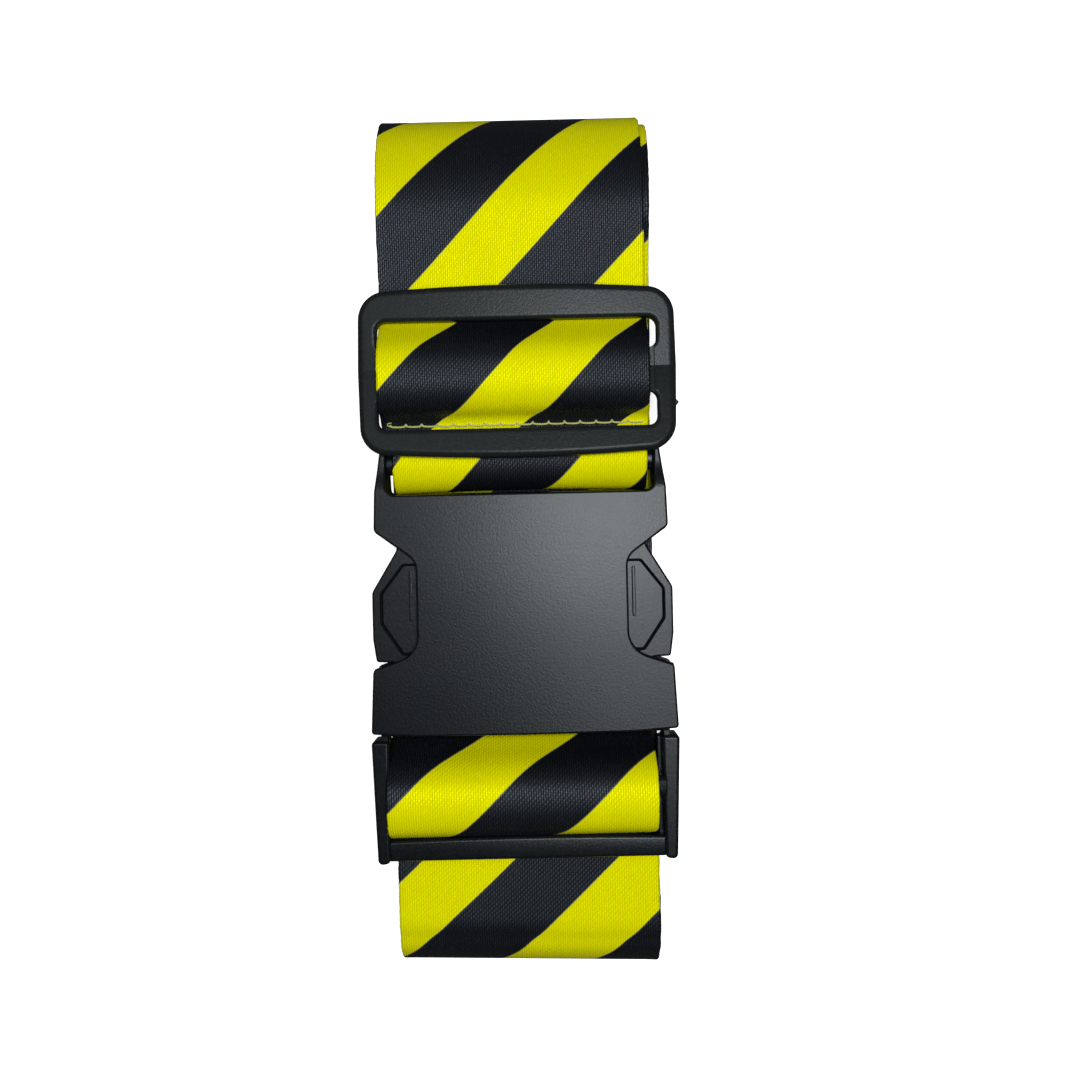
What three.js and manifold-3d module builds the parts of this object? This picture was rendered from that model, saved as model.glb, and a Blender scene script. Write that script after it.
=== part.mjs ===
// A luggage strap as it is sold: 50 mm webbing folded into a flat bundle, held by its own closed
// side-release buckle, with a tri-glide slider beside the buckle.
// Millimetres. +X runs across the webbing, +Y from the plug to the slider, +Z up.
// The origin is under the middle of the bundle, on the surface that it lies on.

import * as THREE from 'three';
import { mergeVertices } from 'three/addons/utils/BufferGeometryUtils.js';
import Module from 'manifold-3d';

const wasm = await Module();
wasm.setup();

// Webbing
const WIDTH = 50;
const LOOP_WIDTH = 48;            // the stretch that cups to pass through the socket's slot
const THICK = 1.0;
const TIGHT = 1.15;               // from one layer of the inner roll to the next
const SPACED = 1.3;               // between layers that move apart
const HALF_LENGTH = 81.2;         // of the folded bundle
const TOP_RUN = 17.2;             // height of the outermost layer at the slider end
const CUT = -55;                  // where the layers that follow the plug end, under the bundle
const GAP = 0.3;

// Heights of the layers' middles, from the floor up
const RUN_1 = THICK / 2;
const RUN_2 = RUN_1 + SPACED;
const RUN_3 = RUN_2 + SPACED;
const RUN_4 = RUN_3 + TIGHT;
const RUN_5 = RUN_4 + TIGHT;
const BACK_4 = RUN_5 + TIGHT;
const BACK_3 = BACK_4 + TIGHT;
const BACK_2 = BACK_3 + TIGHT;
const RETURN = BACK_2 + SPACED;
const PLUG_RUN = RETURN + SPACED;
const PLUG_BEND = [-HALF_LENGTH + (PLUG_RUN - RUN_1 + THICK) / 2, (RUN_1 + PLUG_RUN) / 2];

// Slider, a flat frame with one middle bar
const SLIDER_LOW = 19.8;
const SLIDER_HIGH = 23.2;
const SLIDER_HALF = 28.9;
const SLIDER_Y = [16.8, 46.8];
const SLIDER_BOW = 0.8;
const SLIDER_CORNER = 5;
const SLOT_HALF = 25.6;
const LOWER_SLOT = [21.4, 27.7];
const UPPER_SLOT = [35.6, 41.2];
const SLOT_CORNER = 1.6;
const MIDDLE_BAR_SINK = 0.4;

// Socket, the half that the plug goes into
const SOCKET_LOW = 9.7;
const SOCKET_HIGH = 20;
const SOCKET_WALL = 1.6;
const SOCKET_END = 10;            // where the body stops and the strap slot starts
const MOUTH_Y = -34.4;
const MOUTH_BOW = 0.7;
const MOUTH_HALF = 28.8;
const CAVITY_HALF = 27.2;
const CAVITY_END = 7;
const STRAP_SLOT_HALF = 24.5;
const END_BAR = [13.6, 17.9];
const END_BAR_Z = [12.4, 17.2];

// Plug, the half with the release arms
const PLUG_LOW = 12.3;
const PLUG_HIGH = 19.3;
const INSIDE_LOW = 11.6;          // of what fits inside the socket
const INSIDE_HIGH = 18.1;
const BASE_Y = [-35.2, -30.6];
const BASE_HALF = 26.9;
const CROSS_BAR = [-57.7, -53.5];
const CROSS_BAR_HIGH = 18.2;
const PLUG_MIDDLE_BAR = [-47.2, -43.2];
const PLUG_MIDDLE_Z = [16.4, 20.2];
const TONGUE_HALF = 9;
const TONGUE_END = 3.5;

// Release arms
const PIVOT = [22.4, -33.1];
const PIVOT_RADIUS = 1.5;
const RECESS_DEPTH = 1.2;

const radians = THREE.MathUtils.degToRad;

// ---- outlines -------------------------------------------------------------------------------

// Points of an arc about (x, y), by angle in degrees, ends included.
function arc(x, y, radius, from, to, step = 15) {
  const count = Math.max(2, Math.ceil(Math.abs(to - from) / step));
  return Array.from({ length: count + 1 }, (_, i) => {
    const a = radians(from + ((to - from) * i) / count);
    return [x + radius * Math.cos(a), y + radius * Math.sin(a)];
  });
}

// A smooth line through the given points.
function through(points, perPoint = 4) {
  const curve = new THREE.CatmullRomCurve3(
    points.map(([a, b]) => new THREE.Vector3(a, b, 0)), false, 'centripetal');
  return curve.getPoints((points.length - 1) * perPoint).map((p) => [p.x, p.y]);
}

// Rounds the corners of a closed outline. Each corner is [x, y, radius].
function rounded(corners, steps = 4) {
  const out = [];
  corners.forEach(([x, y, radius = 0], i) => {
    if (!radius) return out.push([x, y]);
    const here = new THREE.Vector2(x, y);
    const before = new THREE.Vector2(...corners.at(i - 1)).sub(here).normalize();
    const after = new THREE.Vector2(...corners[(i + 1) % corners.length]).sub(here).normalize();
    const reach = radius / Math.tan(Math.acos(before.dot(after)) / 2);
    const start = here.clone().addScaledVector(before, reach);
    const end = here.clone().addScaledVector(after, reach);
    for (let n = 0; n <= steps; n++) {
      const t = n / steps;
      const a = (1 - t) ** 2, b = 2 * t * (1 - t), c = t * t;
      out.push([a * start.x + b * x + c * end.x, a * start.y + b * y + c * end.y]);
    }
  });
  return out;
}

const mirrored = (points) => points.map(([x, ...rest]) => [-x, ...rest]).reverse();

const rectangle = (x0, x1, y0, y1, r = 0) =>
  rounded([[x0, y0, r], [x1, y0, r], [x1, y1, r], [x0, y1, r]]);

// ---- solids ---------------------------------------------------------------------------------

const shapeOf = (points) => new THREE.Shape(points.map((p) => new THREE.Vector2(...p)));

// A flat piece: an outline in X and Y, from low to high, with its edges broken by `edge`.
function plate(points, low, high, edge = 0, holes = []) {
  const shape = shapeOf(points);
  shape.holes = holes.map((hole) => new THREE.Path(hole.map((p) => new THREE.Vector2(...p))));
  const geometry = new THREE.ExtrudeGeometry(shape, {
    depth: high - low - 2 * edge, bevelEnabled: edge > 0,
    bevelThickness: edge, bevelSize: edge, bevelOffset: -edge, bevelSegments: 2,
  });
  return geometry.translate(0, 0, low + edge);
}

// A bar across the part: an outline in Y and Z, from x0 to x1.
function bar(points, x0, x1) {
  const geometry = new THREE.ExtrudeGeometry(shapeOf(points), {
    depth: x1 - x0, bevelEnabled: false,
  });
  geometry.translate(0, 0, x0);
  const [x, y, z] = [[1, 0, 0], [0, 1, 0], [0, 0, 1]].map((v) => new THREE.Vector3(...v));
  return geometry.applyMatrix4(new THREE.Matrix4().makeBasis(y, z, x));
}

// Drops points that lie on, or next to, the straight line between their neighbours.
function bendsOnly(route) {
  const kept = [route[0]];
  route.slice(1, -1).forEach((here, i) => {
    const [a, b] = [kept.at(-1), route[i + 2]];
    const [y, z] = [b[0] - a[0], b[1] - a[1]];
    const off = Math.abs(y * (here[1] - a[1]) - z * (here[0] - a[0])) / Math.hypot(y, z);
    if (off > 0.003 && Math.hypot(here[0] - a[0], here[1] - a[1]) > 0.05) kept.push(here);
  });
  return [...kept, route.at(-1)];
}

// Webbing that follows a route of [y, z] points, which is the middle of its thickness.
function webbing(route, width = WIDTH) {
  const bends = bendsOnly(route);
  const side = (sign) => bends.map(([y, z], i) => {
    const a = bends[Math.max(i - 1, 0)];
    const b = bends[Math.min(i + 1, bends.length - 1)];
    const out = (sign * THICK) / 2 / Math.hypot(b[0] - a[0], b[1] - a[1]);
    return [y - (b[1] - a[1]) * out, z + (b[0] - a[0]) * out];
  });
  const outline = [...side(1), ...side(-1).reverse()];
  return bar(THREE.ShapeUtils.isClockWise(outline.map((p) => new THREE.Vector2(...p)))
    ? outline.reverse() : outline, -width / 2, width / 2);
}

function toSolid(geometry) {
  const bare = geometry.clone();
  bare.deleteAttribute('normal');
  bare.deleteAttribute('uv');
  const merged = mergeVertices(bare, 1e-4);
  return new wasm.Manifold(new wasm.Mesh({
    numProp: 3,
    vertProperties: Float32Array.from(merged.attributes.position.array),
    triVerts: Uint32Array.from(merged.index.array),
  }));
}

function toGeometry(solid) {
  const mesh = solid.getMesh();
  const geometry = new THREE.BufferGeometry();
  geometry.setAttribute('position', new THREE.BufferAttribute(mesh.vertProperties, 3));
  geometry.setIndex(new THREE.BufferAttribute(mesh.triVerts, 1));
  return geometry;
}

function joined(pieces, cuts = []) {
  const whole = pieces.map(toSolid).reduce((a, b) => a.add(b));
  return toGeometry(cuts.map(toSolid).reduce((a, b) => a.subtract(b), whole));
}

// ---- webbing --------------------------------------------------------------------------------

// The strap's free end, rolled flat: five layers forward and four back, with loose bends at the
// slider end and tight ones at the plug end.
function innerRoll() {
  const [bendY, bendZ] = PLUG_BEND;
  const turn = (low, high) => arc(bendY, bendZ, (high - low) / 2, 90, 270);
  const loose = (y, low, high) => arc(y, (low + high) / 2, (high - low) / 2, -90, 90);
  const flare = (y, high, low) => through([
    [y, high], [62, high - 0.1], [52, high - 0.22 * (high - low)], [40, low + 0.33 * (high - low)],
    [30, low + 0.05 * (high - low)], [22, low]]);
  return webbing([
    [CUT + GAP, RUN_2], ...loose(71.9, RUN_2, 15.6),
    ...flare(71.9, 15.6, BACK_2), ...turn(RUN_3, BACK_2),
    ...loose(71, RUN_3, 12.3),
    ...flare(71, 12.3, BACK_3), ...turn(RUN_4, BACK_3),
    ...loose(70, RUN_4, 9.0),
    ...flare(70, 9.0, BACK_4), ...turn(RUN_5, BACK_4),
    [58, RUN_5],
  ]);
}

// The outermost layer: along the floor and up round the slider end.
function outerRun() {
  const radius = (TOP_RUN - RUN_1) / 2;
  const bendY = HALF_LENGTH - THICK / 2 - radius;
  return webbing([
    [CUT + GAP, RUN_1], ...arc(bendY, RUN_1 + radius, radius, -90, 90, 10),
    ...through([[bendY, TOP_RUN], [68, 17.3], [62.3, 17.75]]),
  ]);
}

// From the outer bend to the slider. It slackens as the slider comes nearer.
const topRun = () => webbing(through([[62, 17.8], [57, 18.3], [52, 18.7], [48.2, 18.9]]));

// Under the slider's upper bar, over its middle bar, and under its lower bar.
const sliderHump = () => webbing(through([
  [47.9, 18.9], [44.5, 18.9], [42.3, 18.85], [40.9, 19.25], [40.3, 20.5], [39.6, 22.3],
  [37.6, 24.2], [34.6, 25.1], [31.2, 25.3], [27.8, 25.0], [25, 24.0], [23, 22.2], [22.3, 20.5],
  [21.8, 19.2], [20.4, 18.85], [18.7, 18.85]]));

// Round the socket's end bar, out of one slot and back under the slider.
const socketLoop = () => webbing(through([
  [18.4, 18.85], [16.5, 18.85], [14.4, 18.5], [12.4, 17.4], [11.15, 15.6], [10.95, 13.6],
  [11.9, 11.7], [13.9, 10.6], [16.2, 10.5], [18.4, 11.1]]), LOOP_WIDTH);

// The strap's sewn end: up to the slider's middle bar, round it, and back onto itself.
const sewnEnd = () => webbing(through([
  [18.7, 11.3], [21, 13.3], [24, 16.5], [26.6, 18.8], [28.6, 19.4], [34.4, 19.4],
  [35.7, 19.45], [36.4, 20.2], [36.4, 22.8], [35.7, 23.6], [34.3, 23.65], [29, 23.65],
  [27.6, 23.6], [26.85, 22.8], [26.8, 21.4], [25.9, 20.1], [24.4, 18.4], [22.9, 17]]));

// The thread of the seam that crosses the webbing at the slider's lower slot.
function seamThread() {
  const reach = 23.4;
  const knots = 15;
  const points = Array.from({ length: 2 * knots + 1 }, (_, i) => new THREE.Vector3(
    -reach + (reach * i) / knots, 22.35 + (i % 2 ? 0.08 : -0.08), 23 + (i % 2 ? 0.08 : -0.08)));
  const section = shapeOf(arc(0, 0, 0.2, 0, 300, 60));
  return new THREE.ExtrudeGeometry(section, {
    steps: 4 * knots, bevelEnabled: false,
    extrudePath: new THREE.CatmullRomCurve3(points),
  });
}

// The two layers that follow the plug: round the bundle's end, under the cross bar, over the
// plug's middle bar, down by its base and back round the end inside the first bend.
function plugLoop() {
  const [bendY, bendZ] = PLUG_BEND;
  return webbing([
    [CUT, RUN_1], ...arc(bendY, bendZ, bendZ - RUN_1, 270, 90),
    ...through([[-60, PLUG_RUN], [-55.5, PLUG_RUN], [-53.4, 11.5], [-52.5, 12.5], [-52.5, 15],
      [-52.4, 18.3], [-51.2, 20.6], [-48.6, 21.6], [-45.4, 21.9], [-42, 21.3], [-39.1, 19.8],
      [-36.9, 17.9], [-36.05, 15.6], [-36.2, 13.2], [-37.6, 11.3], [-40.5, 10.25],
      [-44, RETURN]]),
    ...arc(bendY, bendZ, bendZ - RUN_2, 90, 270), [CUT, RUN_2],
  ]);
}

// ---- slider ---------------------------------------------------------------------------------

function slider() {
  const [low, high] = SLIDER_Y;
  const c = SLIDER_CORNER;
  const bow = (y, sign) => Array.from({ length: 9 }, (_, i) => {
    const x = sign * (SLIDER_HALF - c) * (i / 4 - 1);
    return [x, y + sign * -SLIDER_BOW * (1 - (x / (SLIDER_HALF - c)) ** 2)];
  });
  const outline = [
    ...bow(low, 1), ...arc(SLIDER_HALF - c, low + c, c, -90, 0).slice(1),
    ...arc(SLIDER_HALF - c, high - c, c, 0, 90),
    ...bow(high, -1).slice(1), ...arc(c - SLIDER_HALF, high - c, c, 90, 180).slice(1),
    ...arc(c - SLIDER_HALF, low + c, c, 180, 270).slice(0, -1),
  ];
  const slots = [LOWER_SLOT, UPPER_SLOT].map(([y0, y1]) =>
    rectangle(-SLOT_HALF, SLOT_HALF, y0, y1, SLOT_CORNER));
  const frame = plate(outline, SLIDER_LOW, SLIDER_HIGH, 0.5, slots);
  const thin = rectangle(-SLOT_HALF, SLOT_HALF, LOWER_SLOT[1] - 0.7, UPPER_SLOT[0] + 0.7);
  return joined([frame], [
    plate(thin, SLIDER_HIGH - MIDDLE_BAR_SINK, SLIDER_HIGH + 1),
    plate(thin, SLIDER_LOW - 1, SLIDER_LOW + MIDDLE_BAR_SINK),
  ]);
}

// ---- socket ---------------------------------------------------------------------------------

function socketOutline() {
  const right = [
    [20, MOUTH_Y - 0.55], [MOUTH_HALF, MOUTH_Y, 1.2], [28.1, -22.8, 1.4], [23.6, -21.6, 3],
    [19.9, -17.6, 3], [19.9, -2.8, 3], [27.6, 2.8, 1.6], [27.6, SOCKET_END, 1.2],
  ];
  return rounded([[0, MOUTH_Y - MOUTH_BOW], ...right, ...mirrored(right)]);
}

function socket() {
  const body = plate(socketOutline(), SOCKET_LOW, SOCKET_HIGH, 0.5);
  const rails = rounded([
    [STRAP_SLOT_HALF, SOCKET_END - 2], [27.4, SOCKET_END - 2], [27.3, SOCKET_END],
    [26.1, 17.4, 1], [25.6, 18.3, 0.5], [STRAP_SLOT_HALF, 18.3]]);
  const endBar = rectangle(...END_BAR, ...END_BAR_Z, 1.8);
  const cavity = [
    [-CAVITY_HALF, MOUTH_Y - 3], [CAVITY_HALF, MOUTH_Y - 3], [CAVITY_HALF, -23.4],
    [30, -22], [30, 2], [25.6, 2.4], [25.6, CAVITY_END],
  ];
  const left = mirrored(cavity.slice(2));
  return joined(
    [body, plate(rails, 11, 19.2), plate(mirrored(rails), 11, 19.2),
      bar(endBar, -STRAP_SLOT_HALF - 0.5, STRAP_SLOT_HALF + 0.5)],
    [plate([...cavity, ...left], SOCKET_LOW + SOCKET_WALL, SOCKET_HIGH - SOCKET_WALL)]);
}

// ---- plug and its release arms --------------------------------------------------------------

function plug() {
  const rail = rounded([
    [25.7, BASE_Y[0]], [25.7, -35.9], [25.5, -58.6, 0.9], [27.8, -58.9, 0.9], [28.6, -35.4, 0.5],
    [BASE_HALF, -35.4], [BASE_HALF, BASE_Y[0]]]);
  const foot = rounded([
    [25.7, BASE_Y[0]], [BASE_HALF, BASE_Y[0]], [BASE_HALF, -36.4], [25.7, -36.4]].reverse());
  const base = rectangle(-BASE_HALF, BASE_HALF, ...BASE_Y);
  const tongue = rounded([
    [-TONGUE_HALF, BASE_Y[1] - 1], [TONGUE_HALF, BASE_Y[1] - 1], [TONGUE_HALF, -4, 3],
    [6.5, TONGUE_END, 2], [-6.5, TONGUE_END, 2], [-TONGUE_HALF, -4, 3]]);
  const crossBar = rectangle(...CROSS_BAR, PLUG_LOW, CROSS_BAR_HIGH, 0.9);
  const middleBar = rectangle(...PLUG_MIDDLE_BAR, ...PLUG_MIDDLE_Z, 1.2);
  const both = (points, ...rest) => [plate(points, ...rest), plate(mirrored(points), ...rest)];
  const room = arc(...PIVOT, PIVOT_RADIUS + GAP, 180, 360, 20);
  const doorway = [...room, [PIVOT[0] + 1.8, BASE_Y[1] + 1], [PIVOT[0] - 3, BASE_Y[1] + 1]];
  return joined(
    [...both(rail, PLUG_LOW, PLUG_HIGH), ...both(foot, PLUG_LOW, INSIDE_HIGH),
      plate(base, INSIDE_LOW, INSIDE_HIGH), plate(tongue, 13.2, 16.5),
      bar(crossBar, -26, 26), bar(middleBar, -26, 26)],
    both(doorway, INSIDE_LOW - 1, INSIDE_HIGH + 1));
}

// A springy arm with the button on its outer side. side is 1 for the right one, -1 for the left.
function releaseArm(side) {
  const handed = (points) => (side > 0 ? points : mirrored(points));
  const [x, y] = PIVOT;
  const outline = [
    ...arc(x, y, PIVOT_RADIUS, 180, 360),
    ...rounded([[23.8, -25, 1], [24, -21.4, 0.5], [27.4, -21.3, 0.6], [28, -17], [28, -8.3, 2],
      [23.5, -0.9], [22, 2.6, 1], [19.2, 2.6, 1], [19.2, -19, 1.5], [21, -22, 1.5]]),
  ];
  const recess = rounded([
    [18, -3.2], [22.2, -3.2, 0.6], [26.4, -8.6, 1], [26.4, -14.2, 1], [22.5, -20, 0.6],
    [18, -20]]);
  const rib = rectangle(20.5, 21.1, -13.8, -4.4, 0.25);
  const topFloor = INSIDE_HIGH - RECESS_DEPTH;
  const lowFloor = INSIDE_LOW + RECESS_DEPTH;
  return joined([
    joined([plate(handed(outline), INSIDE_LOW, INSIDE_HIGH)],
      [plate(handed(recess), topFloor, INSIDE_HIGH + 1),
        plate(handed(recess), INSIDE_LOW - 1, lowFloor)]),
    plate(handed(rib), topFloor - 0.2, INSIDE_HIGH - 0.4)]);
}

// ---- assembly -------------------------------------------------------------------------------

const printedWebbing = () => new THREE.MeshStandardMaterial({
  color: 0xd9da12, roughness: 0.55, metalness: 0 });
const plastic = () => new THREE.MeshStandardMaterial({
  color: 0x262a2c, roughness: 0.5, metalness: 0 });
const thread = () => new THREE.MeshStandardMaterial({
  color: 0xc8cd6a, roughness: 0.7, metalness: 0 });

const strap = new THREE.Group();

function add(name, geometry, material) {
  const mesh = new THREE.Mesh(geometry, material);
  mesh.name = name;
  strap.add(mesh);
}

add('webbing_inner_roll', innerRoll(), printedWebbing());
add('webbing_outer_run', outerRun(), printedWebbing());
add('webbing_top_run', topRun(), printedWebbing());
add('webbing_slider_hump', sliderHump(), printedWebbing());
add('webbing_socket_loop', socketLoop(), printedWebbing());
add('webbing_sewn_end', sewnEnd(), printedWebbing());
add('webbing_plug_loop', plugLoop(), printedWebbing());
add('seam_thread', seamThread(), thread());
add('slider', slider(), plastic());
add('buckle_socket', socket(), plastic());
add('buckle_plug', plug(), plastic());
add('release_arm_left', releaseArm(-1), plastic());
add('release_arm_right', releaseArm(1), plastic());

export default strap;
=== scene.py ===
"""Looks for the luggage strap: printed webbing, moulded buckle and slider, one seam.

Millimetres are used throughout and turned into metres when a mesh is made. The frame is the
CAD's: +X across the webbing, +Y from the plug to the slider, +Z up, the floor at Z 0.
"""

import math

import bmesh
import bpy
import numpy as np
from mathutils import Matrix, Vector
from mathutils.geometry import tessellate_polygon


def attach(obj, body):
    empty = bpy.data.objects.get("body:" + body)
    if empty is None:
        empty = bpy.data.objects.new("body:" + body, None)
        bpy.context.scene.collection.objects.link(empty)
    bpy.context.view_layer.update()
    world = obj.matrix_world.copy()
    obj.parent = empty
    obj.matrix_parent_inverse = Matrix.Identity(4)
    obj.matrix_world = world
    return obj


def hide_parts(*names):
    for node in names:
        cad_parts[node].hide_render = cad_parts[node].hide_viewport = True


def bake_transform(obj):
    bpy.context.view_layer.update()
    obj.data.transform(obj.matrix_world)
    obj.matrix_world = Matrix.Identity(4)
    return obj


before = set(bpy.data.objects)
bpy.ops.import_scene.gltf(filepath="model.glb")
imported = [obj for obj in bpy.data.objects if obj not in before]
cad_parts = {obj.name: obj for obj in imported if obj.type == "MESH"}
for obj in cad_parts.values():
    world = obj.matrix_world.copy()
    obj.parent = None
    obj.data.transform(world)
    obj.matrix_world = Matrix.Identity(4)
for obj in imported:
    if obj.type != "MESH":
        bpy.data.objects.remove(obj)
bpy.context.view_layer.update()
MM = 0.001
SEED = 11

# ---- webbing, by the middle of its thickness ------------------------------------------------
THICK = 1.0
RUN_1, RUN_2, RUN_3, RUN_4, RUN_5 = 0.5, 1.8, 3.1, 4.25, 5.4    # heights of the lower layers
BACK_4, BACK_3, BACK_2 = 6.55, 7.7, 8.85                        # and of those above them
RETURN, PLUG_RUN = 10.15, 11.45   # heights of the layers to and from the plug's middle bar
PLUG_BEND = (-75.225, 5.975)      # (Y, Z) about which the layers bend at the plug end
# (Y, Z) points of the outermost layer, from the floor up round the free end of the bundle
FREE_END = [(71, 0.5), (74.8, 0.85), (77.8, 2.2), (80.1, 4.7), (81.15, 7.5), (81.1, 10.3),
            (80.1, 12.9), (78.3, 15.2), (76, 17.1), (73.5, 18.6), (71, 19.7), (68.5, 20.5),
            (65.8, 21.0), (63.2, 21.15)]
SEAM_Y, SEAM_Z = 22.2, 19.68
THREAD_RADIUS = 0.18

# ---- print on the webbing -------------------------------------------------------------------
PRINT = {"roll": 4.0, "top": 6.9, "hump": 34.4, "loop": 31.1}    # each piece's shift of the stripes
PERIOD = 35.7                     # of the stripes, measured across the webbing
YELLOW_SHARE = 0.471              # of the period
RIB = 0.42                        # from one lengthwise rib of the weave to the next
DASH = 0.9                        # length of one float along a rib
END_SKEW = 0.031                  # of the fold at the plug end, which isn't quite square

# ---- slider ---------------------------------------------------------------------------------
SLIDER_LOW, SLIDER_HIGH = 19.8, 23.2
SLIDER_HALF = 28.9
SLIDER_Y = (16.8, 46.8)
SLIDER_BOW = 0.8
SLIDER_CORNER = 5.2
SLIDER_CREASE = 32.3              # the two halves' top faces rise a little from this line
SLIDER_SLOPE = 0.08
SLIDER_REACH = 15.5               # from the crease to where the top is at its full height
SLOT_HALF = 25.6
LOWER_SLOT, UPPER_SLOT = (21.4, 27.7), (35.6, 41.2)

# ---- buckle ---------------------------------------------------------------------------------
SOCKET_LOW, SOCKET_HIGH = 9.7, 20.0
SOCKET_WALL = 1.6
SOCKET_END = 10.0
STRAP_SLOT_HALF = 24.5
PLUG_LOW, PLUG_HIGH = 12.3, 19.3
INSIDE_LOW, INSIDE_HIGH = 11.6, 18.1
BASE_Y = (-35.2, -30.6)
BASE_HALF = 26.9
PIVOT = (22.4, -33.1)             # of the right release arm
PIVOT_RADIUS = 1.5
RECESS_DEPTH = 1.2

# ---- stage, in metres and watts -------------------------------------------------------------
FLOOR_GLOW = 0.78
WORLD = 0.06
LIGHTS = [                        # name, place, size, power
    ("key", (0.037, 0.020, 0.42), 0.09, 1.03),
    ("side", (0.068, -0.072, 0.42), 0.09, 0.31),
    ("fill", (-0.115, 0.090, 0.42), 0.18, 0.27),
]
CAMERA_PLACE = (0.0035, 0.0008, 0.240)
CAMERA_TURN = math.radians(-1.3)
CAMERA_LENS = 39.77


# ---- outlines and routes --------------------------------------------------------------------

def arc(x, y, radius, start, stop, step=7.5):
    """Points of an arc about (x, y), by angle in degrees, ends included."""
    count = max(2, math.ceil(abs(stop - start) / step))
    angles = np.radians(np.linspace(start, stop, count + 1))
    return np.stack([x + radius * np.cos(angles), y + radius * np.sin(angles)], axis=1)


def through(points, per=8):
    """A smooth line through the points (centripetal Catmull-Rom, as the CAD's)."""
    p = np.array(points, float)
    p = np.vstack([2 * p[0] - p[1], p, 2 * p[-1] - p[-2]])
    t = np.linspace(0, 1, per, endpoint=False)[:, None]
    out = []
    for a, b, c, d in zip(p, p[1:], p[2:], p[3:]):
        k0, k1, k2 = (np.linalg.norm(v) ** 0.5 for v in (b - a, c - b, d - c))
        m0 = ((b - a) / k0 - (c - a) / (k0 + k1) + (c - b) / k1) * k1
        m1 = ((c - b) / k1 - (d - b) / (k1 + k2) + (d - c) / k2) * k1
        out.append(b + m0 * t + (3 * c - 3 * b - 2 * m0 - m1) * t**2 + (2 * b - 2 * c + m0 + m1) * t**3)
    return np.vstack([*out, p[-2:-1]])


def spaced(line, step):
    """The line again, with points an equal distance apart, and that distance."""
    ends = np.concatenate([[0], np.cumsum(np.linalg.norm(np.diff(line, axis=0), axis=1))])
    count = max(2, round(ends[-1] / step))
    at = np.linspace(0, ends[-1], count + 1)
    return np.stack([np.interp(at, ends, line[:, k]) for k in (0, 1)], axis=1), ends[-1] / count


def rounded(corners, steps=6):
    """A closed outline with its corners rounded. Each corner is (x, y) or (x, y, radius)."""
    out = []
    for i, corner in enumerate(corners):
        here, radius = np.array(corner[:2], float), (list(corner) + [0])[2]
        if not radius:
            out.append(here)
            continue
        before = np.array(corners[i - 1][:2], float) - here
        after = np.array(corners[(i + 1) % len(corners)][:2], float) - here
        before, after = before / np.linalg.norm(before), after / np.linalg.norm(after)
        half = math.acos(max(-1, min(1, before @ after))) / 2
        middle = before + after
        centre = here + middle / np.linalg.norm(middle) * radius / math.sin(half)
        start, stop = here + before * radius / math.tan(half), here + after * radius / math.tan(half)
        a0, a1 = (math.atan2(*(q - centre)[::-1]) for q in (start, stop))
        turn = (a1 - a0 + math.pi) % (2 * math.pi) - math.pi
        angles = [a0 + turn * k / steps for k in range(steps + 1)]
        out += [centre + radius * np.array([math.cos(a), math.sin(a)]) for a in angles]
    return np.array(out)


def mirrored(points):
    """Corners or points on the other side of the middle, in the same turning direction."""
    return [(-p[0], *p[1:]) for p in points][::-1]


def rectangle(x0, x1, y0, y1, r=0.0):
    """A rectangle with rounded corners, counter-clockwise."""
    return rounded([(x0, y0, r), (x1, y0, r), (x1, y1, r), (x0, y1, r)])


def inset(points, distance):
    """A counter-clockwise outline moved inwards by a distance."""
    p = np.array(points, float)
    e1, e2 = p - np.roll(p, 1, 0), np.roll(p, -1, 0) - p
    n1, n2 = (np.stack([-e[:, 1], e[:, 0]], 1) / np.linalg.norm(e, axis=1)[:, None] for e in (e1, e2))
    return p + distance * (n1 + n2) / (1 + (n1 * n2).sum(1))[:, None]


# ---- meshes ---------------------------------------------------------------------------------

def new_object(name, points, faces):
    """An object whose mesh is in millimetres until place() shrinks it to metres."""
    mesh = bpy.data.meshes.new(name)
    mesh.from_pydata(np.asarray(points, float).tolist(), [], [list(map(int, f)) for f in faces])
    made = bpy.data.objects.new(name, mesh)
    bpy.context.scene.collection.objects.link(made)
    return made


def place(made, material, slot=None, body=None):
    """Shrinks a finished piece to metres, gives it its material, and lets it ride on its body."""
    made.data.transform(Matrix.Scale(MM, 4))
    made.data.materials.clear()
    made.data.materials.append(material)
    if body:
        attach(made, body)
    return made


def tidied(made, angle=32):
    """Joins doubled points, faces outwards, smooth but for edges sharper than the angle."""
    grid = bmesh.new()
    grid.from_mesh(made.data)
    bmesh.ops.remove_doubles(grid, verts=grid.verts, dist=0.002)
    bmesh.ops.dissolve_degenerate(grid, edges=grid.edges, dist=0.001)
    bmesh.ops.recalc_face_normals(grid, faces=grid.faces)
    if grid.calc_volume(signed=True) < 0:
        bmesh.ops.reverse_faces(grid, faces=grid.faces)
    grid.to_mesh(made.data)
    grid.free()
    made.data.shade_smooth()
    made.data.set_sharp_from_angle(angle=math.radians(angle))
    return made


def edge_profile(low, high, low_round, high_round, flat=0.25, steps=4):
    """(height, inset) pairs from the bottom face to the top one, round the two edges."""
    a = np.radians(np.linspace(0, 90, steps + 1))
    rise = [(low, low_round + flat)]
    rise += [(low + low_round * (1 - math.cos(t)), low_round * (1 - math.sin(t))) for t in a]
    rise += [(high - high_round * (1 - math.sin(t)), high_round * (1 - math.cos(t))) for t in a]
    return rise + [(high, high_round + flat)]


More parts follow.
